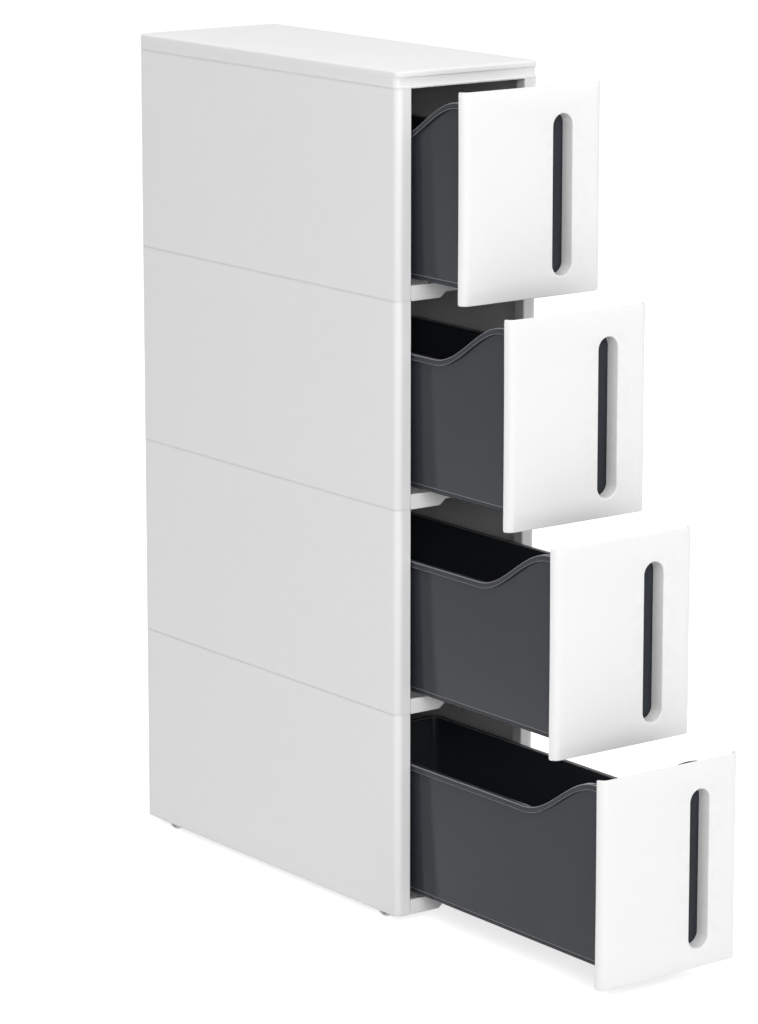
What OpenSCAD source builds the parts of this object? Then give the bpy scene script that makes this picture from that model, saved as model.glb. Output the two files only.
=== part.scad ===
// Slim rolling storage tower: four stacked tiers, each with one drawer, a flat top cover and four
// wheels let into the base. The cabinet is white polypropylene, the drawer bins are dark grey.
// Origin: on the floor, under the middle of the whole tower with its drawers as far out as
// they are drawn here. X runs across, -Y is the front, +Z is up. All sizes are in millimetres.

/* [Cabinet] */
// Width over the two side panels
cabinet_w = 172; // [160:1:200]
// Depth from the front posts to the back edge
cabinet_d = 445; // [430:1:500]
// Height of one tier, from seam to seam
tier_h = 205; // [195:1:230]
// Thickness of the side panels, the rails and the cover's walls
wall = 2.6; // [2:0.1:3]
// Outer radius of the upright corners
corner_r = 7; // [6:0.5:10]
// Width of each front post
post_w = 17; // [15:0.5:19]
// Depth of each front post's inner return
post_d = 13; // [10:0.5:15]
// Outer radius of each post's inner edge
post_edge_r = 1.5; // [1:0.1:2.2]
// Width of the lip at each back corner
back_lip_w = 16; // [14:0.5:20]
// Thickness of the back panels
back_t = 2; // [1.5:0.1:3]
// Width of the ledge inside each side panel's top edge
ledge_w = 5; // [4:0.5:7]
// Thickness of that ledge
ledge_t = 2.2; // [1.5:0.1:3]
// Depth of the shadow line at each seam
seam_depth = 0.5; // [0.3:0.1:0.8]
// Height of the shadow line at each seam
seam_h = 0.8; // [0.5:0.1:1.5]

/* [Top cover] */
// Height of the cover
cover_h = 17; // [15:0.5:22]
// Thickness of the cover's slab
slab_t = 6.2; // [5:0.1:8]
// Radius of the slab's top edge
slab_edge_r = 2.6; // [1.5:0.1:3]
// How far the cover's skirt is set back at the front
cover_recess = 2; // [1:0.5:4]
// Thickness of the lip left in front of the skirt's lower edge
cover_lip = 1; // [0.6:0.1:2]

/* [Shelves] */
// Height of the front rail above its seam
rail_h = 15; // [13:0.5:16]
// Height of the shelf's upper surface above its seam
shelf_z = 11; // [10:0.5:11.5]
// Thickness of the shelf's plate, skirts and ribs
shelf_t = 2.2; // [1.8:0.1:2.8]
// Height of the finger notch cut into the rail from below
notch_h = 5.5; // [4:0.5:7]
// Width of the notch at its full height
notch_w = 54; // [40:1:70]
// Run of the slope at each end of the notch
notch_run = 7; // [4:0.5:10]
// Distance of each runner rib from the middle
runner_x = 48; // [40:1:54]
// How far the fences beside the bin's foot stay below its walls
fence_room = 1.5; // [1:0.1:2.5]
// Height of the ribs under the shelf's plate
rib_h = 4; // [2:0.5:6]
// Distance of each long rib from the middle
rib_x = 24; // [15:1:35]

/* [Drawer bins] */
// Height of the bin's underside above the seam
bin_z = 20; // [19.5:0.5:21]
// Height of the stepped foot under the bin
foot_h = 4.5; // [3:0.5:6]
// How far the foot is set in from the bin's walls
foot_inset = 1.6; // [1:0.1:2.5]
// Wall thickness of the bin
bin_t = 2.2; // [1.8:0.1:2.8]
// Radius of the bin's upright corners
bin_corner_r = 10; // [8:0.5:14]
// How much narrower each side is at the bottom
bin_draft = 1.5; // [1:0.1:2]
// Width of the rim's outward flange
flange_w = 3.4; // [2.5:0.1:4]
// Depth of the rim's turned-down edge
flange_h = 6; // [4:0.5:8]
// Thickness of the flange and its edge
flange_t = 1.6; // [1.2:0.1:2]
// Height of the low part of the rim above the seam
rim_low = 153; // [140:1:160]
// Height of the crest behind the front above the seam
rim_high = 198; // [185:1:199]
// Distance behind the front at which the crest starts to fall
dip_start = 22; // [19:1:34]
// Distance behind the front at which the rim is low
dip_end = 129; // [100:1:150]
// Room left behind a closed bin
bin_back_room = 6; // [4:0.5:12]
// Width of the stop lug under the bin
stop_w = 24; // [16:1:40]
// Thickness of the stop lug
stop_t = 4; // [3:0.5:6]

/* [Drawer fronts] */
// Gap left beside the front at each side of the cabinet
front_side_gap = 1.5; // [0.5:0.5:3]
// Height of the front's lower edge above the seam
front_z = 9; // [7:0.5:11]
// Gap between two fronts
front_gap = 3; // [2:0.5:5]
// Thickness of the front's wall
front_t = 2.8; // [2:0.1:3.2]
// Outer radius of the front's upright edges, which is also how deep its sides reach back
front_edge_r = 8.5; // [8:0.5:11]
// Distance from the front's side edges to the bin's front wall
front_depth = 8; // [7:0.5:12]
// Width of the handle slot
slot_w = 23.8; // [20:0.2:26]
// Length of the handle slot
slot_l = 156; // [130:1:160]
// Distance of the slot from the middle
slot_x = 35.5; // [34:0.5:42]
// How far the slot's centre sits below the front's centre
slot_drop = 4.5; // [0:0.5:6]
// Wall thickness of the slot's collar
collar_t = 2.2; // [1.6:0.1:2.8]

/* [Front fixings] */
// Diameter of the screws' shanks
screw_d = 3; // [2.5:0.1:3.5]
// Length of the screws under the head
screw_l = 13; // [10:0.5:14]
// Diameter of the screws' heads
head_d = 6.6; // [6:0.1:7.5]
// Height of the screws' heads
head_h = 2.2; // [1.6:0.1:2.8]
// Diameter of the flat top of the heads
head_top_d = 4.6; // [4:0.1:5.5]
// Width of the cross slots in the heads
cross_w = 0.8; // [0.6:0.1:1]
// Length of the cross slots in the heads
cross_l = 3.3; // [2.5:0.1:3.8]
// Depth of the cross slots in the heads
cross_depth = 1.1; // [0.8:0.1:1.4]
// Diameter of the bosses behind the front
boss_d = 8; // [7:0.1:9]
// Height of the lower screws above the seam
screw_low = 44; // [38:1:60]
// Height of the upper screws above the seam
screw_up = 172; // [150:1:180]
// Distance of the left screws from the middle
screw_left = 46; // [40:1:50]
// Distance of the right screws from the middle
screw_right = 12; // [5:1:16]

/* [Wheels] */
// Diameter of the wheels
wheel_d = 25; // [24:0.5:26]
// Width of the wheels
wheel_w = 12; // [10:0.5:12.5]
// How far the wheels reach below the base
wheel_drop = 7; // [6:0.5:9]
// Thickness of the wheel's rim
wheel_rim = 2.2; // [1.6:0.1:3]
// Thickness of the wheel's web
wheel_web = 2; // [1.5:0.1:3]
// Thickness of the wheel's spokes
wheel_spoke = 1.4; // [1:0.1:2]
// Diameter of the wheel's hub
hub_d = 12; // [11:0.1:14]
// Diameter of the stub axles
stub_d = 8.8; // [8:0.1:9.2]
// Thickness of the cheeks that carry the stub axles
cheek_t = 3; // [2.4:0.1:3.4]
// Wall left round the bore of a cheek
cheek_wall = 2.3; // [2:0.1:2.8]
// Distance of the front axles behind the posts' returns
axle_front = 17; // [17:0.5:28]
// Distance of the back axles from the cabinet's back
axle_back = 44; // [40:0.5:60]

/* [Drawer travel] */
// How far out the top drawer is drawn
pull_first = 91; // [0:0.5:110]
// How much further out each lower drawer is drawn
pull_step = 70.3; // [0:0.1:72]
// Travel of a drawer from closed to its stop
travel = 330; // [326:1:345]

/* [Clearances] */
// Gap between parts that are assembled face to face
fit = 0.15; // [0.1:0.05:0.3]
// Gap between the bin and what it slides on
slide_gap = 0.3; // [0.2:0.05:0.5]
// Gap between the stop lug and the shelf
stop_gap = 1.2; // [0.8:0.1:1.6]
// Gap between the bin's rim and the posts
rim_gap = 1.5; // [1:0.1:2]
// Gap between a closed front and the posts
closed_gap = 0.7; // [0.5:0.1:1.5]
// Gap between the collar or a boss and the bin's front wall
collar_gap = 0.2; // [0.1:0.05:0.4]
// Radial clearance of the stub axles in their bores
axle_gap = 0.08; // [0.05:0.01:0.1]
// Radial clearance of the screws in their bosses
screw_gap = 0.05; // [0.03:0.01:0.1]
// Radial clearance of the screws in the bin's wall
screw_hole_gap = 0.3; // [0.2:0.05:0.5]
// Gap beside the wheels
wheel_gap = 0.6; // [0.4:0.1:0.8]
// Gap round the wheels' tread
tread_gap = 1.2; // [0.8:0.1:1.5]

/* [Hidden] */
$fn = 48;

// Number of tiers, counted from 1 at the top
tiers = 4;
// More than any cut needs to pass right through
over = 1;
// Height of the thin slices that a hull is spanned between
slice = 0.1;
half_w = cabinet_w / 2;
// Half the width of the opening between the front posts
opening = half_w - post_w;
inner_x = half_w - wall - fit;

// The drawn part is centred on its origin, so the cabinet's front stands behind it
pull_last = pull_first + (tiers - 1) * pull_step;
reach = pull_last + closed_gap + front_edge_r;
front_y = (reach - cabinet_d) / 2;

// A drawer's own Y is measured back from the edges of its front's sides
front_w = cabinet_w - 2 * front_side_gap;
front_h = tier_h - front_gap;
slot_z = front_z + front_h / 2 - slot_drop;
rim_x = opening - rim_gap;
bin_x = rim_x - flange_w;
foot_x = bin_x - bin_draft - foot_inset;
wall_z = bin_z + foot_h;
bin_back = cabinet_d - wall - fit - back_t - fit - bin_back_room + closed_gap;
stop_y = wall + slide_gap + travel + closed_gap;
stop_z = shelf_z + stop_gap;
runner_top = bin_z - slide_gap;

axle_z = wheel_d / 2 - wheel_drop;
wheel_x = inner_x - cheek_t - wheel_gap - wheel_w / 2;
stub_l = wheel_w + 2 * (wheel_gap + cheek_t);
well_r = wheel_d / 2 + tread_gap;
well_in = wheel_x - wheel_w / 2 - wheel_gap - cheek_t;
// Number of spokes, how far they stay inside the rim, and the bevel of the tread's edges
spokes = 6;
spoke_setback = 1.5;
tread_edge = 0.8;
// Number of ribs across the underside of each shelf
cross_ribs = 3;
axle_ys = [post_d + axle_front, cabinet_d - axle_back];

screw_spots = [[-screw_left, screw_low], [-screw_left, screw_up],
    [screw_right, screw_low], [screw_right, screw_up]];

// Height of the seam under a tier, above the base's lower edge
function seam_z(level) = (tiers - level) * tier_h;
// How far out the drawer of a tier is drawn
function pull(level) = pull_first + (level - 1) * pull_step;
// Height of the bin's rim above its seam, at a distance behind the front
function rim_z(y) = let (t = min(1, max(0, (y - dip_start) / (dip_end - dip_start))))
    rim_high - (rim_high - rim_low) * (1 - cos(180 * t)) / 2;

// Puts a tier's parts at their height
module at_tier(level) {
    translate([0, front_y, wheel_drop + seam_z(level)]) children();
}

// Puts a drawer's parts where the drawer is drawn
module at_drawer(level) {
    at_tier(level) translate([0, -pull(level) - closed_gap, 0]) children();
}

// A rectangle with four round corners, from its left front corner
module round_rect(w, d, r) {
    translate([r, 0]) square([w - 2 * r, d]);
    translate([0, r]) square([w, d - 2 * r]);
    for (x = [r, w - r], y = [r, d - r]) translate([x, y]) circle(r);
}

// A quarter of a ring whose corner points to -X -Y, from that corner
module corner_ring(r, t) {
    intersection() {
        translate([r, r]) difference() {
            circle(r);
            circle(r - t);
        }
        square([r, r]);
    }
}

// Plan of the left side panel, set in all round by a small amount for the shadow line
module side_plan(inset) {
    r = corner_r - inset;
    t = wall - inset;
    edge_x = post_w - post_edge_r;
    translate([-half_w, 0]) {
        translate([inset, corner_r]) square([t, cabinet_d - 2 * corner_r]);
        translate([inset, inset]) corner_ring(r, t);
        translate([corner_r, inset]) square([edge_x - corner_r, t]);
        translate([edge_x, post_edge_r]) circle(post_edge_r - inset);
        translate([post_w - wall, post_edge_r]) square([t, post_d - post_edge_r]);
        translate([inset, cabinet_d - inset]) mirror([0, 1]) corner_ring(r, t);
        translate([corner_r, cabinet_d - wall]) square([back_lip_w - corner_r, t]);
    }
}

module side_left(level) {
    color("white") at_tier(level) {
        linear_extrude(seam_h) side_plan(seam_depth);
        translate([0, 0, seam_h]) linear_extrude(tier_h - seam_h) side_plan(0);
        translate([wall - half_w, corner_r, tier_h - ledge_t])
            cube([ledge_w, cabinet_d - 2 * corner_r, ledge_t]);
    }
}

module side_right(level) {
    mirror([1, 0, 0]) side_left(level);
}

module back_panel(level) {
    w = cabinet_w - 2 * corner_r - 2 * fit;
    color("white") at_tier(level) translate([-w / 2, cabinet_d - wall - fit - back_t, fit])
        cube([w, back_t, tier_h - 2 * fit]);
}

// The cover's slab, with its upper edge rounded
module slab() {
    hull() for (x = [corner_r, cabinet_w - corner_r], y = [corner_r, cabinet_d - corner_r])
        translate([x - half_w, y, 0]) rotate_extrude($fn = 32) {
            square([corner_r, slab_t - slab_edge_r]);
            square([corner_r - slab_edge_r, slab_t]);
            translate([corner_r - slab_edge_r, slab_t - slab_edge_r]) circle(slab_edge_r);
        }
}

module top_cover() {
    skirt_h = cover_h - slab_t;
    pocket_y = cover_recess + wall;
    color("white") at_tier(0) {
        translate([0, 0, skirt_h]) slab();
        difference() {
            translate([-half_w, 0, 0]) union() {
                translate([seam_depth, seam_depth, 0]) linear_extrude(seam_h)
                    round_rect(cabinet_w - 2 * seam_depth, cabinet_d - 2 * seam_depth,
                        corner_r - seam_depth);
                translate([0, 0, seam_h]) linear_extrude(cover_lip)
                    round_rect(cabinet_w, cabinet_d, corner_r);
                translate([0, cover_recess, seam_h]) linear_extrude(skirt_h - seam_h)
                    round_rect(cabinet_w, cabinet_d - cover_recess, corner_r);
            }
            translate([corner_r - half_w, pocket_y, -over])
                cube([cabinet_w - 2 * corner_r, cabinet_d - wall - pocket_y, skirt_h + over]);
            translate([wall - half_w, cover_recess + corner_r, -over])
                cube([cabinet_w - 2 * wall, cabinet_d - 2 * corner_r - cover_recess, skirt_h + over]);
        }
    }
}

// The shelf's front rail, with the notch in its lower edge
module front_rail() {
    w = opening - fit;
    translate([0, wall, 0]) rotate([90, 0, 0]) linear_extrude(wall) polygon([
        [-w, 0], [-notch_w / 2 - notch_run, 0], [-notch_w / 2, notch_h], [notch_w / 2, notch_h],
        [notch_w / 2 + notch_run, 0], [w, 0], [w, rail_h], [-w, rail_h]]);
}

// A shelf as it is before the base's wheel wells are let in
module plain_shelf() {
    start_y = post_d + fit;
    end_y = cabinet_d - wall - fit - back_t - fit;
    plate_z = shelf_z - shelf_t;
    fence_x = foot_x + slide_gap;
    rib_z = plate_z - rib_h;
    front_rail();
    translate([-opening + fit, 0, plate_z]) cube([2 * (opening - fit), start_y, shelf_t]);
    translate([-inner_x, start_y, plate_z]) cube([2 * inner_x, end_y - corner_r - start_y, shelf_t]);
    translate([corner_r - half_w + fit, end_y - corner_r, plate_z])
        cube([cabinet_w - 2 * corner_r - 2 * fit, corner_r, shelf_t]);
    for (side = [-1, 1]) {
        translate([side * (inner_x - shelf_t / 2) - shelf_t / 2, start_y, 0])
            cube([shelf_t, end_y - corner_r - start_y, shelf_z]);
        translate([side * runner_x - shelf_t / 2, wall, plate_z])
            cube([shelf_t, end_y - wall, runner_top - plate_z]);
        translate([side * (fence_x + shelf_t / 2) - shelf_t / 2, start_y, plate_z])
            cube([shelf_t, end_y - start_y, wall_z - fence_room - plate_z]);
        translate([side * rib_x - shelf_t / 2, start_y, rib_z]) cube([shelf_t, end_y - start_y, rib_h]);
    }
    translate([corner_r - half_w + fit, end_y - shelf_t, 0])
        cube([cabinet_w - 2 * corner_r - 2 * fit, shelf_t, shelf_z]);
    rib_pitch = (end_y - start_y) / (cross_ribs + 1);
    for (i = [1 : cross_ribs]) translate([-inner_x, start_y + i * rib_pitch, rib_z])
        cube([2 * inner_x, shelf_t, rib_h]);
}

module shelf(level) {
    color("white") at_tier(level) plain_shelf();
}

// The room that a wheel needs in the base, from its axle
module well_room() {
    room_w = wheel_w + 2 * wheel_gap;
    translate([-room_w / 2, 0, 0]) rotate([0, 90, 0]) cylinder(r = well_r, h = room_w);
    translate([-room_w / 2, -well_r, -axle_z - 2 * over])
        cube([room_w, 2 * well_r, axle_z + 2 * over]);
}

// The box that is moulded into the base round a wheel, from its axle
module well_box() {
    box_w = wheel_w + 2 * wheel_gap + 2 * cheek_t;
    translate([-box_w / 2, -well_r - shelf_t, -axle_z])
        cube([box_w, 2 * (well_r + shelf_t), axle_z + wheel_d / 2 + tread_gap + shelf_t]);
    translate([-box_w / 2, 0, 0]) rotate([0, 90, 0])
        cylinder(d = stub_d + 2 * (axle_gap + cheek_wall), h = box_w);
}

module base_shelf() {
    color("white") at_tier(tiers) difference() {
        union() {
            plain_shelf();
            for (side = [-1, 1], y = axle_ys) translate([side * wheel_x, y, axle_z]) well_box();
        }
        for (side = [-1, 1], y = axle_ys) translate([side * wheel_x, y, axle_z]) {
            well_room();
            translate([-stub_l / 2 - over, 0, 0]) rotate([0, 90, 0])
                cylinder(d = stub_d + 2 * axle_gap, h = stub_l + 2 * over);
        }
    }
}

// A solid of the bin's plan, set out from its walls and drawn in towards the bottom
module bin_block(out, low, high) {
    r = bin_corner_r + out;
    hull() for (end = [[low, bin_draft], [high - slice, 0]]) {
        x = bin_x + out - end[1] - r;
        for (side = [-1, 1], y = [front_depth - out + r, bin_back + out - end[1] - r])
            translate([side * x, y, end[0]]) cylinder(r = r, h = slice, $fn = 32);
    }
}

// Everything below the rim, seen from the side, down to a depth under it
module under_rim(top, depth) {
    steps = 16;
    ahead = front_depth - flange_w - over;
    curve = [for (i = [0 : steps]) dip_start + i * (dip_end - dip_start) / steps];
    upper = concat([[ahead, rim_high - top]], [for (y = curve) [y, rim_z(y) - top]],
        [[bin_back + flange_w + over, rim_low - top]]);
    lower = [for (i = [len(upper) - 1 : -1 : 0]) [upper[i][0], depth > 0 ? upper[i][1] - depth : 0]];
    rotate([90, 0, 90]) translate([0, 0, -half_w]) linear_extrude(cabinet_w)
        polygon(concat(upper, lower));
}

// A vertical prism of the bin's plan at its rim, set out from its walls
module rim_prism(out) {
    x = bin_x + out;
    y = front_depth - out;
    translate([-x, y, 0]) linear_extrude(rim_high + over)
        round_rect(2 * x, bin_back + out - y, bin_corner_r + out);
}

module drawer_bin(level) {
    foot_y = front_depth + foot_inset;
    foot_end = bin_back - bin_draft - foot_inset;
    color("dimgray") at_drawer(level) difference() {
        union() {
            intersection() {
                bin_block(0, wall_z, rim_high);
                under_rim(0, 0);
            }
            translate([-foot_x, foot_y, bin_z]) linear_extrude(foot_h)
                round_rect(2 * foot_x, foot_end - foot_y, bin_corner_r - foot_inset);
            intersection() {
                rim_prism(flange_w);
                under_rim(0, flange_t);
            }
            intersection() {
                difference() {
                    rim_prism(flange_w);
                    rim_prism(flange_w - flange_t);
                }
                under_rim(flange_t / 2, flange_h - flange_t / 2);
            }
            translate([-stop_w / 2, stop_y, stop_z])
                cube([stop_w, stop_t, bin_z + bin_t / 2 - stop_z]);
        }
        bin_block(-bin_t, wall_z + bin_t, rim_high + over);
        translate([bin_t - foot_x, foot_y + bin_t, bin_z + bin_t]) linear_extrude(foot_h + over)
            round_rect(2 * (foot_x - bin_t), foot_end - foot_y - 2 * bin_t,
                bin_corner_r - foot_inset - bin_t);
        for (spot = screw_spots) translate([spot[0], front_depth, spot[1]]) rotate([-90, 0, 0]) {
            translate([0, 0, -over]) cylinder(d = screw_d + 2 * screw_hole_gap, h = bin_t + 3 * over);
            translate([0, 0, -flange_w - over]) cylinder(d = boss_d + 2 * collar_gap, h = flange_w + over);
        }
    }
}

// The slot's outline, grown all round, from its own centre
module slot_plan(grow) {
    straight = slot_l - slot_w;
    translate([-slot_w / 2 - grow, -straight / 2]) square([slot_w + 2 * grow, straight]);
    for (end = [-1, 1]) translate([0, end * straight / 2]) circle(slot_w / 2 + grow);
}

// Plan of the front between its face and its sides' edges, set in by the wall's thickness or by nothing
module front_plan(inset) {
    r = front_edge_r - inset;
    x = front_w / 2 - front_edge_r;
    translate([-x, -r]) square([2 * x, r]);
    intersection() {
        for (side = [-1, 1]) translate([side * x, 0]) circle(r);
        translate([-front_w / 2, -r]) square([front_w, r]);
    }
}

module drawer_front(level) {
    end_y = front_depth - collar_gap;
    reach_y = end_y + front_edge_r - front_t / 2;
    color("white") at_drawer(level) difference() {
        union() {
            translate([0, 0, front_z]) linear_extrude(front_h) difference() {
                front_plan(0);
                front_plan(front_t);
                translate([front_t - front_w / 2, -over / 2]) square([front_w - 2 * front_t, over]);
            }
            translate([slot_x, end_y, slot_z]) rotate([90, 0, 0]) linear_extrude(reach_y) slot_plan(collar_t);
            for (spot = screw_spots) translate([spot[0], end_y, spot[1]]) rotate([90, 0, 0])
                cylinder(d = boss_d, h = reach_y);
        }
        translate([slot_x, end_y + over, slot_z]) rotate([90, 0, 0])
            linear_extrude(end_y + front_edge_r + 2 * over) slot_plan(0);
        for (spot = screw_spots) translate([spot[0], end_y + over, spot[1]]) rotate([90, 0, 0])
            cylinder(d = screw_d + 2 * screw_gap, h = screw_l + over);
    }
}

module front_screws(level) {
    seat_y = front_depth + bin_t + fit;
    color("silver") at_drawer(level) for (spot = screw_spots) translate([spot[0], seat_y, spot[1]]) {
        rotate([90, 0, 0]) cylinder(d = screw_d, h = screw_l);
        rotate([-90, 0, 0]) difference() {
            cylinder(d1 = head_d, d2 = head_top_d, h = head_h);
            for (turn = [0, 90]) rotate(turn) translate([-cross_l / 2, -cross_w / 2, head_h - cross_depth])
                cube([cross_l, cross_w, head_h]);
        }
    }
}

// Half a wheel's section, seen from its axle
module tread_section() {
    r = wheel_d / 2;
    w = wheel_w / 2;
    polygon([[r - wheel_rim, -w], [r - tread_edge, -w], [r, tread_edge - w], [r, w - tread_edge],
        [r - tread_edge, w], [r - wheel_rim, w]]);
}

module wheel(side, y) {
    reach_r = (wheel_d - wheel_rim) / 2;
    spoke_w = wheel_w - 2 * spoke_setback;
    color("whitesmoke") at_tier(tiers) translate([side * wheel_x, y, axle_z]) rotate([0, 90, 0]) {
        rotate_extrude() tread_section();
        translate([0, 0, -wheel_web / 2]) cylinder(r = reach_r, h = wheel_web);
        translate([0, 0, -wheel_w / 2]) cylinder(d = hub_d, h = wheel_w);
        translate([0, 0, -stub_l / 2]) cylinder(d = stub_d, h = stub_l);
        for (i = [0 : spokes - 1]) rotate(i * 360 / spokes)
            translate([0, -wheel_spoke / 2, -spoke_w / 2]) cube([reach_r, wheel_spoke, spoke_w]);
    }
}

top_cover();
side_left(1);  // side_left_1
side_left(2);  // side_left_2
side_left(3);  // side_left_3
side_left(4);  // side_left_4
side_right(1);  // side_right_1
side_right(2);  // side_right_2
side_right(3);  // side_right_3
side_right(4);  // side_right_4
back_panel(1);  // back_panel_1
back_panel(2);  // back_panel_2
back_panel(3);  // back_panel_3
back_panel(4);  // back_panel_4
shelf(1);  // shelf_1
shelf(2);  // shelf_2
shelf(3);  // shelf_3
base_shelf();
drawer_bin(1);  // drawer_bin_1
drawer_bin(2);  // drawer_bin_2
drawer_bin(3);  // drawer_bin_3
drawer_bin(4);  // drawer_bin_4
drawer_front(1);  // drawer_front_1
drawer_front(2);  // drawer_front_2
drawer_front(3);  // drawer_front_3
drawer_front(4);  // drawer_front_4
front_screws(1);  // front_screws_1
front_screws(2);  // front_screws_2
front_screws(3);  // front_screws_3
front_screws(4);  // front_screws_4
wheel(-1, axle_ys[0]);  // wheel_front_left
wheel(1, axle_ys[0]);  // wheel_front_right
wheel(-1, axle_ys[1]);  // wheel_back_left
wheel(1, axle_ys[1]);  // wheel_back_right
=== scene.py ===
# Slim rolling drawer tower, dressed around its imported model.
# Sizes are in millimetres until a piece is finished, then in metres. X runs across, -Y is the front.
import math

import bmesh
import bpy
from mathutils import Matrix, Vector


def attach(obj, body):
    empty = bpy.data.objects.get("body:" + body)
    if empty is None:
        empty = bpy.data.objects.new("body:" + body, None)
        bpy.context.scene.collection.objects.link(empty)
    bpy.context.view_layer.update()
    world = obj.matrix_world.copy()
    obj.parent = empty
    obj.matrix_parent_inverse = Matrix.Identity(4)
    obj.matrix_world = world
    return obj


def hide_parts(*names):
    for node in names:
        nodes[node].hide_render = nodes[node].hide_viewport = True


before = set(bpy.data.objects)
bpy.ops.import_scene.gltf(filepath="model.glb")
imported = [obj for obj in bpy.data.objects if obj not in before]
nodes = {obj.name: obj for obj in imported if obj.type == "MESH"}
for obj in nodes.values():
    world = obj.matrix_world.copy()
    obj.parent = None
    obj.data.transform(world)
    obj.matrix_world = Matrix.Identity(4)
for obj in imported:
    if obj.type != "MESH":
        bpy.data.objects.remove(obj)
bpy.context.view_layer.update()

# The camera stands where the photograph was taken from: in front of the tower, well to its left
# and above it. Its shift keeps the uprights nearly parallel, as a studio camera's does.
camera = bpy.data.objects.new("camera", bpy.data.cameras.new("camera"))
bpy.context.scene.collection.objects.link(camera)
bpy.context.scene.camera = camera
camera.location = (-2.4360, -3.1851, 1.2838)
camera.rotation_euler = (math.radians(90 - 11.104), 0, math.radians(-36.745))
camera.data.sensor_width = 36
camera.data.lens = 145.28
camera.data.shift_y = -0.0996
camera.data.clip_end = 40

# Shelves and base: white polypropylene mouldings with a notched front rail, runners for the bin
# and ribs underneath. The base carries the four wheels in wells with bored cheeks.
TIERS = (1, 2, 3, 4)
SEAM_PITCH = 0.205
LOWEST_SEAM = 0.007


class Wire:
    """A socket of a material's nodes that Python's own arithmetic works on."""

    def __init__(self, tree, socket):
        self.tree, self.socket = tree, socket

    def node(self, kind, settings, sockets, out=0):
        """Adds a node, makes its settings, feeds its sockets and gives one of its outputs."""
        made = self.tree.nodes.new(kind)
        for name, value in settings.items():
            setattr(made, name, value)
        for name, value in sockets.items():
            if isinstance(value, Wire):
                self.tree.links.new(value.socket, made.inputs[name])
            else:
                made.inputs[name].default_value = value
        return Wire(self.tree, made.outputs[out])

    def maths(self, operation, first, second=0.0):
        return self.node("ShaderNodeMath", {"operation": operation}, {0: first, 1: second})

    def __add__(self, other):
        return self.maths("ADD", self, other)

    def __sub__(self, other):
        return self.maths("SUBTRACT", self, other)

    def __rsub__(self, other):
        return self.maths("SUBTRACT", other, self)

    def __mul__(self, other):
        return self.maths("MULTIPLY", self, other)

    def noise(self, scale, detail):
        """Soft clouds from 0 to 1, so many to the metre."""
        return self.node("ShaderNodeTexNoise", {}, {"Vector": self, "Scale": scale, "Detail": detail})

    def stretched(self, scale):
        """The same place with each axis scaled, for streaks."""
        return self.node("ShaderNodeMapping", {}, {"Vector": self, "Scale": scale})

    def fade(self, start, end):
        """1 at start and below, falling smoothly to 0 at end, or rising if start is above end."""
        return self.node("ShaderNodeMapRange", {"interpolation_type": "SMOOTHSTEP"},
                         {"Value": self, "From Min": start, "From Max": end, "To Min": 1.0, "To Max": 0.0})

    def tint(self, low, high):
        """A colour from low where this is 0 to high where it is 1."""
        return self.node("ShaderNodeMix", {"data_type": "RGBA"}, {0: self, 6: (*low, 1), 7: (*high, 1)}, 2)

    def over(self, colour, top):
        """The colour with another one laid over it, as strongly as this says."""
        return self.node("ShaderNodeMix", {"data_type": "RGBA"}, {0: self, 6: colour, 7: (*top, 1)}, 2)

    def part(self, axis):
        """One of the three numbers of a place."""
        return self.node("ShaderNodeSeparateXYZ", {}, {0: self}, "XYZ".index(axis))

    def own_map(self, name):
        """The place on the piece's own map of this name."""
        return self.node("ShaderNodeUVMap", {"uv_map": name}, {})

    def relief(self, distance, strength=1.0, under=None):
        """A bump of this height in metres, laid over another one."""
        sockets = {"Height": self, "Distance": distance, "Strength": strength}
        if under:
            sockets["Normal"] = under
        return self.node("ShaderNodeBump", {}, sockets)


def start_plastic(name, gloss):
    """A new material with its shader and the place on the object that its patterns start from."""
    material = bpy.data.materials.new(name)
    material.use_nodes = True
    tree = material.node_tree
    shader = tree.nodes["Principled BSDF"]
    shader.inputs["IOR"].default_value = 1.49
    shader.inputs["Specular IOR Level"].default_value = gloss
    place = Wire(tree, tree.nodes.new("ShaderNodeTexCoord").outputs["Object"])
    return material, shader, place


def finish_plastic(shader, colour, roughness, normal):
    for name, wire in (("Base Color", colour), ("Roughness", roughness), ("Normal", normal)):
        wire.tree.links.new(wire.socket, shader.inputs[name])


def cabinet_white():
    """Satin white polypropylene: faint flow clouds, a fine spark-eroded grain, dust at the seams
    and a few scuffs low down."""
    material, shader, place = start_plastic("cabinet_white", 0.4)
    height = place.part("Z")
    clouds = place.noise(7, 3)
    seam_distance = place.maths("PINGPONG", height - LOWEST_SEAM, SEAM_PITCH / 2)
    dust = seam_distance.fade(0.0004, 0.0022) * place.noise(160, 3)
    scuffs = place.stretched((6, 6, 240)).noise(5, 4).fade(0.76, 0.66) * height.fade(0.012, 0.075)
    colour = (clouds * 0.6 + place.noise(60, 2) * 0.4).tint((0.845, 0.845, 0.845), (0.88, 0.88, 0.88))
    colour = (dust * 0.25).over(colour, (0.52, 0.51, 0.49))
    colour = (scuffs * 0.15).over(colour, (0.55, 0.55, 0.55))
    roughness = clouds * 0.08 + dust * 0.2 + 0.44
    swell = place.noise(11, 1).relief(0.0006)
    grain = place.noise(1900, 2).relief(0.00003, 0.6, swell)
    finish_plastic(shader, colour, roughness, grain)
    return material


cabinet_plastic = cabinet_white()


SHARP = math.radians(35)


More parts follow.
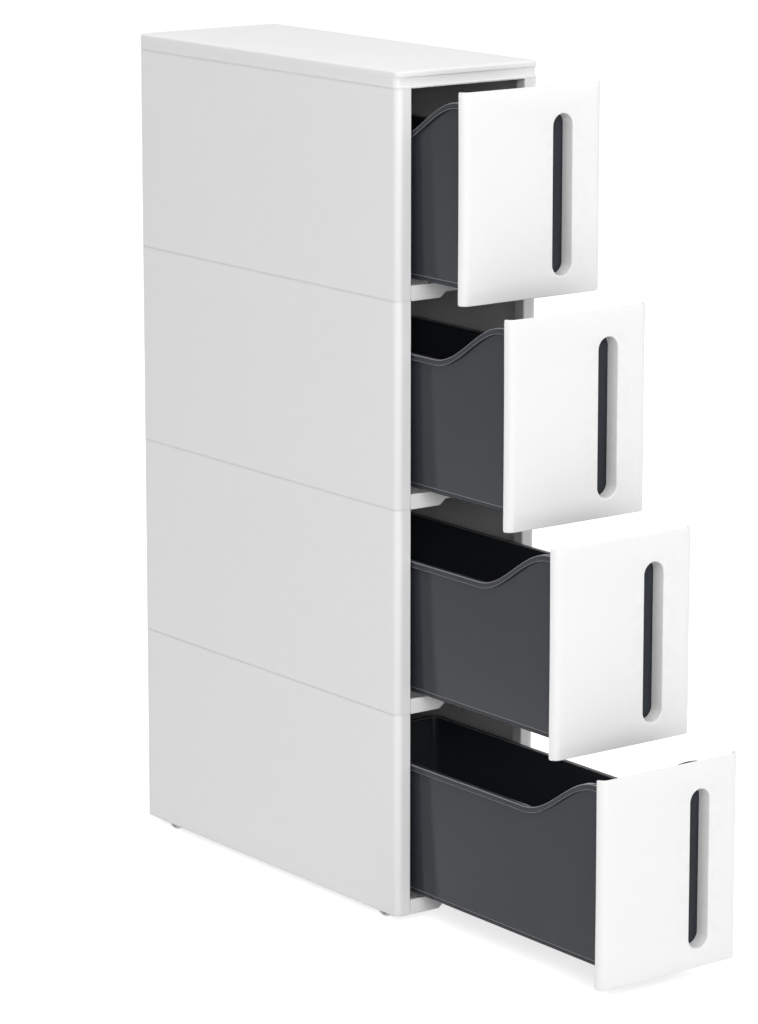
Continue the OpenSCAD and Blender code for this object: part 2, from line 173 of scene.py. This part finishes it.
def soften(node_name, material, radius):
    """Gives a CAD node its finish and rounds its sharp edges as a mould would."""
    node = nodes[node_name]
    for slot in node.material_slots:
        slot.material = material
    weld = node.modifiers.new("merge corners", "WELD")
    weld.merge_threshold = 0.00001
    edges = node.modifiers.new("mould radius", "BEVEL")
    edges.width = radius
    edges.segments = 2
    edges.limit_method = "ANGLE"
    edges.angle_limit = SHARP
    edges.use_clamp_overlap = True


for name in ("shelf_1", "shelf_2", "shelf_3", "base_shelf"):
    soften(name, cabinet_plastic, 0.00035)

# Wheels: white nylon, each one moulding with a plain tread, a web with six spokes, a hub and two
# stub axles that snap into the cheeks of the base.
AXLE_X = 73.65
AXLE_Z = 12.5
AXLES = {"front": -36.95, "back": 334.05}
WHEEL_R = 12.5
WHEEL_W = 12.0
WHEEL_STEPS = 64
SPOKES = 6
SPOKE_X = 2.7
SPOKE_MIDDLE_R = 8.15
SPOKE_SIZE = (3.7, 1.4, 5.0)


def to_piece(bm, name, body, material, replaced):
    """Turns a finished bmesh in millimetres into a piece in metres that rides on a body."""
    bmesh.ops.scale(bm, vec=(0.001, 0.001, 0.001), verts=bm.verts[:])
    mesh = bpy.data.meshes.new(name)
    for face in bm.faces:
        face.smooth = True
    for edge in bm.edges:
        if len(edge.link_faces) == 2 and edge.calc_face_angle(0) > SHARP:
            edge.smooth = False
    bm.to_mesh(mesh)
    bm.free()
    piece = bpy.data.objects.new(name, mesh)
    bpy.context.scene.collection.objects.link(piece)
    mesh.materials.append(material)
    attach(piece, body)
    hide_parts(replaced)


def round_edges(bm, edges, radius, segments):
    bmesh.ops.bevel(bm, geom=edges, offset=radius, offset_type="OFFSET", segments=segments,
                    profile=0.5, affect="EDGES", material=-1, clamp_overlap=True)


def lathe(points, steps):
    """A closed solid turned about the X axis from a profile of (x, radius), from axis to axis."""
    bm = bmesh.new()
    ring = [bm.verts.new((x, 0, r)) for x, r in points]
    edges = [bm.edges.new(pair) for pair in zip(ring, ring[1:])]
    bmesh.ops.spin(bm, geom=ring + edges, cent=(0, 0, 0), axis=(1, 0, 0), angle=math.tau,
                   steps=steps, use_merge=True)
    bmesh.ops.remove_doubles(bm, verts=bm.verts[:], dist=0.001)
    bmesh.ops.recalc_face_normals(bm, faces=bm.faces[:])
    return bm


def edges_of(verts):
    """The edges at some points, each one once and always in the same order."""
    return list(dict.fromkeys(e for v in verts for e in v.link_edges))


def add_block(bm, centre, size, radius):
    """A box with rounded edges, as a closed part of the same mesh."""
    made = bmesh.ops.create_cube(bm, size=1.0)["verts"]
    bmesh.ops.scale(bm, vec=size, verts=made)
    bmesh.ops.translate(bm, vec=centre, verts=made)
    round_edges(bm, edges_of(made), radius, 2)


def wheel_nylon():
    """White nylon with a grey track round the middle of the tread. The piece's own map gives the
    place across the tread and the distance from the axle."""
    material, shader, place = start_plastic("wheel_nylon", 0.5)
    plan = place.own_map("turning")
    across, out = plan.part("X"), plan.part("Y")
    track = (place.maths("ABSOLUTE", across - 0.5).fade(0.14, 0.34) * out.fade(0.995, 0.96)
             * (place.noise(700, 4) * 0.9 + 0.25))
    clouds = place.noise(90, 3)
    colour = clouds.tint((0.78, 0.78, 0.77), (0.85, 0.85, 0.84))
    colour = ((1 - out.fade(0.9, 0.985)) * track * 0.45).over(colour, (0.42, 0.41, 0.4))
    roughness = clouds * 0.1 + track * 0.15 + 0.34
    finish_plastic(shader, colour, roughness, place.noise(1500, 2).relief(0.00003, 0.5))
    return material


wheel_plastic = wheel_nylon()

# Place across and radius, from the end of one stub axle out to the tread, and the same mirrored
WHEEL_PROFILE = [(-9.6, 0), (-9.6, 3.9), (-9.1, 4.4), (-6.2, 4.4), (-6.0, 4.6), (-6.0, 5.6), (-5.6, 6.0),
                 (-1.5, 6.0), (-1.0, 6.6), (-1.0, 9.6), (-1.6, 10.3), (-5.6, 10.3), (-6.0, 10.7),
                 (-6.0, 11.7), (-5.75, 12.25), (-5.2, 12.5)]
WHEEL_PROFILE += [(-x, r) for x, r in reversed(WHEEL_PROFILE)]

for end, y in AXLES.items():
    for side, x in (("left", -AXLE_X), ("right", AXLE_X)):
        bm = lathe(WHEEL_PROFILE, WHEEL_STEPS)
        spokes = bmesh.new()
        for turn in range(SPOKES):
            for web_side in (-1, 1):
                add_block(spokes, (web_side * SPOKE_X, 0, SPOKE_MIDDLE_R), SPOKE_SIZE, 0.25)
            bmesh.ops.rotate(spokes, verts=spokes.verts[:], cent=(0, 0, 0),
                             matrix=Matrix.Rotation(math.tau / SPOKES, 3, "X"))
        spoke_mesh = bpy.data.meshes.new("spokes")
        spokes.to_mesh(spoke_mesh)
        spokes.free()
        bm.from_mesh(spoke_mesh)
        bpy.data.meshes.remove(spoke_mesh)
        turning = bm.loops.layers.uv.new("turning")
        for face in bm.faces:
            for loop in face.loops:
                co = loop.vert.co
                loop[turning].uv = (co.x / WHEEL_W + 0.5, math.hypot(co.y, co.z) / WHEEL_R)
        bmesh.ops.translate(bm, vec=(x, y, AXLE_Z), verts=bm.verts[:])
        to_piece(bm, f"{end}_{side}_wheel", f"wheel_{end}_{side}", wheel_plastic,
                 f"wheel_{end}_{side}")

# Side and back panels: each tier has a left and a right side with a rounded front post and a lip
# at the back, and a flat back panel between them. They stack edge to edge with a fine shadow line.
for tier in TIERS:
    for name in (f"side_left_{tier}", f"side_right_{tier}", f"back_panel_{tier}"):
        soften(name, cabinet_plastic, 0.0003)

# Top cover: one white moulding, a slab with a full round upper edge over a skirt that is set back
# at the front above a narrow lip. It drops over the top tier.
CABINET_W = 172.0
CABINET_FRONT = -66.95
CABINET_BACK = 378.05
CORNER_R = 7.0


def clamp(value, low, high):
    return min(max(value, low), high)


class Footprint:
    """A rounded rectangle that rings of a moulding are set out from, by an even distance."""

    def __init__(self, half_x, front, back, radius):
        self.half_x, self.front, self.back, self.radius = half_x, front, back, radius

    def place(self, point, out, z):
        """The point moved to the outline's distance out, at a height."""
        core = Vector((clamp(point.x, self.radius - self.half_x, self.half_x - self.radius),
                       clamp(point.y, self.front + self.radius, self.back - self.radius), 0))
        way = Vector((point.x, point.y, 0)) - core
        spot = core + way.normalized() * (self.radius + out)
        return Vector((spot.x, spot.y, z))

    def plate(self, cuts=(), segments=8):
        """A bmesh with one flat face of this outline, cut across at some places along Y."""
        bm = bmesh.new()
        bmesh.ops.create_grid(bm, x_segments=1, y_segments=1, size=0.5)
        bmesh.ops.scale(bm, vec=(2 * self.half_x, self.back - self.front, 1), verts=bm.verts[:])
        bmesh.ops.translate(bm, vec=(0, (self.front + self.back) / 2, 0), verts=bm.verts[:])
        bmesh.ops.bevel(bm, geom=bm.verts[:], offset=self.radius, offset_type="OFFSET",
                        segments=segments, profile=0.5, affect="VERTICES", material=-1)
        for y in cuts:
            bmesh.ops.bisect_plane(bm, geom=bm.verts[:] + bm.edges[:] + bm.faces[:], dist=0.001,
                                   plane_co=(0, y, 0), plane_no=(0, 1, 0))
        return bm


def add_ring(bm, rim, move):
    """Extrudes an open rim of edges and moves each new point by a rule. Gives the new rim."""
    made = bmesh.ops.extrude_edge_only(bm, edges=rim)["geom"]
    for vert in (g for g in made if isinstance(g, bmesh.types.BMVert)):
        vert.co = move(vert.co)
    return [g for g in made if isinstance(g, bmesh.types.BMEdge)
            and all(v in set(made) for v in g.verts) and len(g.link_faces) == 1]


def open_rim(bm):
    return [e for e in bm.edges if len(e.link_faces) == 1]


COVER_Z = 827.0
COVER_H = 17.0
cover_plan = Footprint(CABINET_W / 2, CABINET_FRONT, CABINET_BACK, CORNER_R)
cover = cover_plan.plate(segments=12)
for vert in cover.verts:
    vert.co = cover_plan.place(vert.co, -2.6, COVER_Z + COVER_H)
# Distance out, height above the seam and setback at the front, from the slab's upper edge down
# round the skirt and up to the slab's underside
COVER_RINGS = [(-1.605, 16.802, 0), (-0.762, 16.238, 0), (-0.198, 15.395, 0), (0, 14.4, 0), (0, 11.3, 0),
               (0, 10.9, 0.3), (0, 10.7, 2), (0, 2.1, 2), (0, 1.8, 1.8), (0, 1.6, 0.2), (0, 1.4, 0),
               (0, 0.8, 0), (-0.5, 0.7, 0), (-0.5, 0.0, 0), (-2.6, 0.0, 2), (-2.6, 10.8, 2)]
rim = open_rim(cover)
former = 0
for out, height, setback in COVER_RINGS:
    def ring_place(co, out=out, height=height, setback=setback, former=former):
        ahead = co.y < CABINET_FRONT + CORNER_R + former + 0.1
        spot = cover_plan.place(co - Vector((0, former if ahead else 0, 0)), out, COVER_Z + height)
        return spot + Vector((0, setback if ahead else 0, 0))
    rim = add_ring(cover, rim, ring_place)
    former = setback
bmesh.ops.contextual_create(cover, geom=rim)
bmesh.ops.recalc_face_normals(cover, faces=cover.faces[:])
to_piece(cover, "cover_moulding", "cabinet", cabinet_plastic, "top_cover")

# Drawer bins: dark grey polypropylene with a soft gloss. The walls taper towards a stepped foot,
# and the rim turns out and down and dips in a long curve behind the front.
BIN_HALF_X = 64.1
BIN_FRONT = 8.0
BIN_BACK = 434.8
BIN_CORNER = 10.0
RIM_LOW = 153.0
RIM_HIGH = 198.0
DIP_START = 22.0
DIP_END = 129.0
WALL_FOOT = 24.5
DRAFT = 1.5
UNDERSIDE = 20.0
STOP_LUG = (0, 335.6, 16.65)
STOP_LUG_SIZE = (24, 4, 8.9)
TOP_DRAWER_Y = -158.65
DRAWER_STEP = 70.3


def drawer_origin(tier):
    """Where a drawer's own measures start: its front's side edges, the middle and its seam."""
    seam = (LOWEST_SEAM + SEAM_PITCH * (len(TIERS) - tier)) * 1000
    return Vector((0, TOP_DRAWER_Y - DRAWER_STEP * (tier - 1), seam))


def rim_height(y):
    t = clamp((y - DIP_START) / (DIP_END - DIP_START), 0, 1)
    return RIM_HIGH - (RIM_HIGH - RIM_LOW) * (1 - math.cos(math.pi * t)) / 2


def bin_grey():
    """Dark grey polypropylene: fine grain, faint drag marks from sliding, and painted highlights as paler
    lines along the edges of the rim and the foot.
    """
    material, shader, place = start_plastic("bin_grey", 0.14)
    clouds = place.noise(10, 3)
    drag = place.stretched((300, 1.5, 420)).noise(3, 4).fade(0.72, 0.62)
    painted_highlight = place.node("ShaderNodeAttribute", {"attribute_name": "painted_highlight"}, {}, 2)
    colour = clouds.tint((0.035, 0.039, 0.046), (0.042, 0.046, 0.054))
    # Painted highlight: paler grey laid over the rim's and the foot's edges
    colour = (painted_highlight * 0.9).over(colour, (0.27, 0.27, 0.29))
    roughness = clouds * 0.04 + drag * 0.03 + painted_highlight * 0.1 + 0.11
    swell = place.noise(14, 1).relief(0.0004)
    finish_plastic(shader, colour, roughness, place.noise(1600, 2).relief(0.00002, 0.4, swell))
    return material


bin_plastic = bin_grey()
bin_plan = Footprint(BIN_HALF_X, BIN_FRONT, BIN_BACK, BIN_CORNER)


def drafted(height):
    """How far the outer wall stands in at a height above the seam."""
    return -DRAFT * (RIM_HIGH - height) / (RIM_HIGH - WALL_FOOT)


# Distance out from the wall's own line, height, and 1 where the height is counted from the rim
BIN_RINGS = [(-1.6, 20.6, 0), (-1.6, 24.5, 0), (-0.9, 24.5, 0), (-0.26, 24.76, 0), (0, 25.4, 0),
             (0, -1.6, 1), (1.8, -1.6, 1), (1.8, -5.7, 1), (2.1, -6.0, 1), (3.0, -6.0, 1), (3.3, -5.8, 1),
             (3.4, -5.4, 1), (3.4, -0.9, 1), (3.14, -0.26, 1), (2.5, 0, 1), (-1.5, 0, 1), (-2.0, -0.2, 1),
             (-2.2, -0.7, 1), (-2.2, 29.5, 0), (-2.4, 27.9, 0), (-3.1, 26.9, 0), (-3.7, 26.6, 0),
             (-4.0, 26.0, 0), (-4.3, 23.8, 0), (-4.9, 22.6, 0), (-6.1, 22.2, 0)]
# Rings whose faces get the painted highlight lines: the foot's lower edge and the rim's edges
PAINTED_HIGHLIGHT_RINGS = (3, 4, 11, 13, 14, 16, 17)

# Places along the bin where its rings of faces are cut: close together in the dip, wide behind it
BIN_CUTS = [DIP_START + step * (DIP_END - DIP_START) / 24 for step in range(25)]
BIN_CUTS += range(174, 399, 28)

for tier in TIERS:
    bm = bin_plan.plate(BIN_CUTS, segments=8)
    for vert in bm.verts:
        if vert.is_boundary:
            vert.co = bin_plan.place(vert.co, -DRAFT - 2.2, UNDERSIDE)
        else:
            vert.co.z = UNDERSIDE
    # Mask of the painted highlight lines, 1 on the rings listed above
    painted_highlight = bm.loops.layers.float.new("painted_highlight")
    rim = open_rim(bm)
    for index, (out, height, from_rim) in enumerate(BIN_RINGS):
        def bin_place(co, out=out, height=height, from_rim=from_rim):
            z = height + from_rim * rim_height(co.y)
            return bin_plan.place(co, out + drafted(z if from_rim < 1 else z - height), z)
        older = set(bm.faces)
        rim = add_ring(bm, rim, bin_place)
        for face in set(bm.faces) - older:
            for loop in face.loops:
                loop[painted_highlight] = 1.0 if index in PAINTED_HIGHLIGHT_RINGS else 0.0
    bmesh.ops.contextual_create(bm, geom=rim)
    add_block(bm, STOP_LUG, STOP_LUG_SIZE, 0.6)
    bmesh.ops.recalc_face_normals(bm, faces=bm.faces[:])
    bmesh.ops.translate(bm, vec=drawer_origin(tier), verts=bm.verts[:])
    to_piece(bm, f"drawer_{tier}_bin", f"drawer_{tier}", bin_plastic,
             f"drawer_bin_{tier}")

# Screws: four short countersunk screws of zinc plated steel in each drawer, driven from inside
# the bin into the bosses of its front.
def zinc_steel():
    """Zinc plate: bright metal with fine turning marks and a few dull spots."""
    material, shader, place = start_plastic("zinc_steel", 0.5)
    shader.inputs["Metallic"].default_value = 1.0
    spots = place.noise(900, 3)
    colour = spots.tint((0.5, 0.5, 0.52), (0.68, 0.68, 0.69))
    finish_plastic(shader, colour, spots * 0.2 + 0.22, place.noise(4000, 2).relief(0.00001))
    return material


screw_steel = zinc_steel()
for tier in TIERS:
    soften(f"front_screws_{tier}", screw_steel, 0.0001)

# Drawer fronts: white mouldings with a soft gloss, a flat face and rounded upright edges. Each has
# an upright slot with a deep collar as its handle, and four bosses behind that take the screws.
FRONT_HALF_X = 84.5
FRONT_LOW = 9.0
FRONT_HIGH = 211.0
FRONT_T = 2.8
EDGE_R = 8.5
FLAT_HALF_X = FRONT_HALF_X - EDGE_R
BLANK_HALF_X = FLAT_HALF_X + EDGE_R * math.pi / 2
WAIST = 0.4
WAIST_START = 60.0
SLOT_X = 35.5
SLOT_Z = 105.5
SLOT_HALF_W = 11.9
SLOT_HALF_STRAIGHT = 66.1
COLLAR_END = 16.3
COLLAR_T = 2.2
TOP_CORNER_R = 1.4
FOOT_CORNER_R = 2.2
LIP_R = 1.3
RIM_R = 0.8
SCREWS = ((-46, 44), (-46, 172), (12, 44), (12, 172))
BOSS_R = 4.0
BORE_R = 1.75
BORE_END_R = 1.55
BORE_DEPTH = 13.0


def rolled(co):
    """Takes a point of the flat blank, at its depth behind the face, to the finished front, whose
    sides are bent back and drawn in a little at mid-height."""
    x, y = abs(co.x), co.y - EDGE_R
    if x > FLAT_HALF_X:
        turn = (x - FLAT_HALF_X) / EDGE_R
        x, y = FLAT_HALF_X - y * math.sin(turn), y * math.cos(turn)
    height = clamp((co.z - FRONT_LOW) / (FRONT_HIGH - FRONT_LOW), 0, 1)
    near_edge = clamp((x - WAIST_START) / (FRONT_HALF_X - WAIST_START), 0, 1)
    x -= WAIST * near_edge ** 2 * math.sin(math.pi * height)
    return Vector((math.copysign(x, co.x), y, co.z))


def front_white():
    """Smooth white moulding: softer gloss where fingers have dulled it round the slot, very
    shallow swell from cooling. The piece's own map gives the place on the front."""
    material, shader, place = start_plastic("front_white", 0.5)
    plan = place.own_map("front_plan")
    across, up = plan.part("X"), plan.part("Y")
    beside = place.maths("ABSOLUTE", across - (SLOT_X / BLANK_HALF_X / 2 + 0.5))
    touched = (beside.fade(0.09, 0.2) * place.maths("ABSOLUTE", up - 0.49).fade(0.3, 0.5)
               * place.noise(90, 5).fade(0.62, 0.42))
    clouds = place.noise(8, 3)
    colour = (clouds * 0.6 + place.noise(45, 2) * 0.4).tint((0.847, 0.847, 0.847), (0.868, 0.868, 0.868))
    colour = (touched * 0.12).over(colour, (0.66, 0.64, 0.6))
    roughness = clouds * 0.06 + touched * 0.14 + 0.27
    swell = place.noise(13, 1).relief(0.0003)
    finish_plastic(shader, colour, roughness, place.noise(2200, 2).relief(0.00001, 0.4, swell))
    return material


front_plastic = front_white()


def stand_up(bm, verts):
    """Turns points that lie flat so that they face the front."""
    bmesh.ops.rotate(bm, verts=verts, cent=(0, 0, 0), matrix=Matrix.Rotation(math.pi / 2, 3, "X"))


def slot_loop(bm):
    """A closed loop of edges round the slot, on the face."""
    made = bmesh.ops.create_circle(bm, cap_ends=False, segments=48, radius=SLOT_HALF_W)["verts"]
    stand_up(bm, made)
    for vert in made:
        vert.co.z += math.copysign(SLOT_HALF_STRAIGHT, vert.co.z if abs(vert.co.z) > 0.001 else 1)
    bmesh.ops.translate(bm, vec=(SLOT_X, 0, SLOT_Z), verts=made)
    return edges_of(made)


def beside_slot(co, grow, depth):
    """A point of the slot's outline moved out from it by a distance, at a depth behind the face."""
    up = clamp(co.z - SLOT_Z, -SLOT_HALF_STRAIGHT, SLOT_HALF_STRAIGHT)
    core = Vector((SLOT_X, depth, SLOT_Z + up))
    return core + (Vector((co.x, depth, co.z)) - core).normalized() * (SLOT_HALF_W + grow)


def cut_across(bm, place, normal):
    """Cuts every face that a plane goes through."""
    bmesh.ops.bisect_plane(bm, geom=bm.verts[:] + bm.edges[:] + bm.faces[:], dist=0.0005,
                           plane_co=place, plane_no=normal)


def outer_loop(bm):
    """The flat blank's outline on the face, with its corners rounded and points above and below
    the slot."""
    made = bmesh.ops.create_grid(bm, x_segments=1, y_segments=1, size=0.5)["verts"]
    stand_up(bm, made)
    bmesh.ops.scale(bm, vec=(2 * BLANK_HALF_X, 1, FRONT_HIGH - FRONT_LOW), verts=made)
    bmesh.ops.translate(bm, vec=(0, 0, (FRONT_HIGH + FRONT_LOW) / 2), verts=made)
    upper = [v for v in made if v.co.z > SLOT_Z]
    lower = [v for v in made if v.co.z < SLOT_Z]
    for corners, radius in ((upper, TOP_CORNER_R), (lower, FOOT_CORNER_R)):
        bmesh.ops.bevel(bm, geom=corners, offset=radius, offset_type="OFFSET", segments=5, profile=0.5,
                        affect="VERTICES", material=-1)
    cut_across(bm, (SLOT_X, 0, 0), (1, 0, 0))
    middle = [e for e in bm.edges if not e.is_boundary]
    bmesh.ops.delete(bm, geom=bm.faces[:] + middle, context="EDGES_FACES")
    return bm.edges[:]


def add_plate(bm, outline, slot):
    """Two flat faces between an outline and the slot's, which meet above and below the slot."""
    for side in (-1, 1):
        ring = []
        for loop, backward in ((outline, False), (slot, True)):
            points = dict.fromkeys(v for e in loop for v in e.verts if side * (v.co.x - SLOT_X) > -0.001)
            ring += sorted(points, reverse=backward,
                           key=lambda v: math.atan2(abs(v.co.x - SLOT_X), v.co.z - SLOT_Z))
        bm.faces.new(ring)


def boss(bm, x, z):
    """A hollow post from inside the front's wall to the bin's wall."""
    made = bmesh.ops.create_circle(bm, cap_ends=False, segments=20, radius=BOSS_R)["verts"]
    stand_up(bm, made)
    bmesh.ops.translate(bm, vec=(x, FRONT_T / 2, z), verts=made)
    rim = first = edges_of(made)
    for depth, radius in ((COLLAR_END - 0.3, BOSS_R), (COLLAR_END, BOSS_R - 0.3), (COLLAR_END, BORE_R),
                          (COLLAR_END - BORE_DEPTH, BORE_END_R)):
        def boss_place(co, depth=depth, radius=radius):
            way = Vector((co.x - x, 0, co.z - z)).normalized() * radius
            return Vector((x + way.x, depth, z + way.z))
        rim = add_ring(bm, rim, boss_place)
    bmesh.ops.contextual_create(bm, geom=rim)
    bmesh.ops.contextual_create(bm, geom=first)


def sharp_edges(bm):
    return [e for e in bm.edges if len(e.link_faces) == 2 and e.calc_face_angle(0) > math.radians(50)]


for tier in TIERS:
    bm = bmesh.new()
    front_edge = outer_loop(bm)
    back_edge = add_ring(bm, front_edge, lambda co: Vector((co.x, FRONT_T, co.z)))
    slot_face = slot_loop(bm)
    slot_end = add_ring(bm, slot_face, lambda co: beside_slot(co, 0, COLLAR_END))
    collar_end = add_ring(bm, slot_end, lambda co: beside_slot(co, COLLAR_T, COLLAR_END))
    collar_root = add_ring(bm, collar_end, lambda co: beside_slot(co, COLLAR_T, FRONT_T))
    add_plate(bm, front_edge, slot_face)
    add_plate(bm, back_edge, collar_root)
    bmesh.ops.recalc_face_normals(bm, faces=bm.faces[:])
    lip = [e for e in sharp_edges(bm) if max(v.co.y for v in e.verts) < 0.01
           and max(abs(v.co.x - SLOT_X) for v in e.verts) < SLOT_HALF_W + 0.01]
    round_edges(bm, lip, LIP_R, 4)
    corners = [e for e in sharp_edges(bm) if max(v.co.y for v in e.verts) < FRONT_T + 0.01
               or min(v.co.y for v in e.verts) > COLLAR_END - 0.01]
    round_edges(bm, corners, RIM_R, 3)
    # Cuts through the flat blank, so that its faces can follow the bent sides and the waist
    bend = BLANK_HALF_X - RIM_R - 0.1 - FLAT_HALF_X
    for x in [FLAT_HALF_X + bend * step / 10 for step in range(11)] + [62, 66, 70, 73]:
        for side in (-1, 1):
            cut_across(bm, (side * x, 0, 0), (1, 0, 0))
    for step in range(1, 12):
        cut_across(bm, (0, 0, FRONT_LOW + (FRONT_HIGH - FRONT_LOW) * step / 12), (0, 0, 1))
    plan = bm.loops.layers.uv.new("front_plan")
    for face in bm.faces:
        for loop in face.loops:
            co = loop.vert.co
            loop[plan].uv = (co.x / BLANK_HALF_X / 2 + 0.5,
                             (co.z - FRONT_LOW) / (FRONT_HIGH - FRONT_LOW))
    for x, z in SCREWS:
        boss(bm, x, z)
    for vert in bm.verts:
        vert.co = rolled(vert.co)
    bmesh.ops.recalc_face_normals(bm, faces=bm.faces[:])
    bmesh.ops.translate(bm, vec=drawer_origin(tier), verts=bm.verts[:])
    to_piece(bm, f"drawer_{tier}_front", f"drawer_{tier}", front_plastic,
             f"drawer_front_{tier}")

# Studio: a wide pale floor that shows as white and keeps the tower's soft shadow, and a pale room.
# A broad lamp stands in front and to the left, weaker ones above and behind, a faint one at the right.
AMBIENT = 0.4
FLOOR_GLOW = (0.72, 0.72, 0.72)
LAMP_AIM = Vector((0, 0, 0.45))


def white_to_the_eye(tree):
    """1 on the rays that show the background: the camera's own and those in metal and glass."""
    path = tree.nodes.new("ShaderNodeLightPath")
    seen = Wire(tree, path.outputs["Is Camera Ray"])
    for kind in ("Is Glossy Ray", "Is Transmission Ray"):
        seen = seen + Wire(tree, path.outputs[kind])
    return seen.maths("MINIMUM", seen, 1.0)


def studio_floor():
    """White paper that glows only where it is looked at, so that it still shows a shadow."""
    material = bpy.data.materials.new("floor_paper")
    material.use_nodes = True
    tree = material.node_tree
    shader = tree.nodes["Principled BSDF"]
    shader.inputs["Base Color"].default_value = (0.86, 0.86, 0.86, 1)
    shader.inputs["Roughness"].default_value = 0.9
    shader.inputs["Specular IOR Level"].default_value = 0.1
    shader.inputs["Emission Strength"].default_value = 1.0
    glow = white_to_the_eye(tree).tint((0, 0, 0), FLOOR_GLOW)
    tree.links.new(glow.socket, shader.inputs["Emission Color"])
    return material


floor_bm = bmesh.new()
bmesh.ops.create_grid(floor_bm, x_segments=1, y_segments=1, size=15)
floor_mesh = bpy.data.meshes.new("floor")
floor_bm.to_mesh(floor_mesh)
floor_bm.free()
floor_mesh.materials.append(studio_floor())
floor = bpy.data.objects.new("floor", floor_mesh)
bpy.context.scene.collection.objects.link(floor)

world = bpy.data.worlds.new("room")
bpy.context.scene.world = world
world.use_nodes = True
room = world.node_tree
background = room.nodes["Background"]
strength = white_to_the_eye(room) * (1 - AMBIENT) + AMBIENT
room.links.new(strength.socket, background.inputs["Strength"])
background.inputs["Color"].default_value = (1, 1, 1, 1)


def add_lamp(name, place, size, power):
    """A square lamp of some metres and watts that faces the middle of the tower."""
    lamp = bpy.data.lights.new(name, "AREA")
    lamp.shape = "SQUARE"
    lamp.size = size
    lamp.energy = power
    holder = bpy.data.objects.new(name, lamp)
    bpy.context.scene.collection.objects.link(holder)
    holder.location = place
    holder.rotation_euler = (LAMP_AIM - Vector(place)).to_track_quat("-Z", "Y").to_euler()


add_lamp("front_lamp", (-1.55, -3.1, 1.8), 2.0, 64)
add_lamp("top_lamp", (-0.3, -0.5, 3.4), 2.4, 32)
add_lamp("right_lamp", (2.3, -1.9, 1.3), 1.5, 9)
add_lamp("back_lamp", (-0.2, 3.2, 2.0), 2.0, 22)

bpy.context.scene.view_settings.view_transform = "Standard"
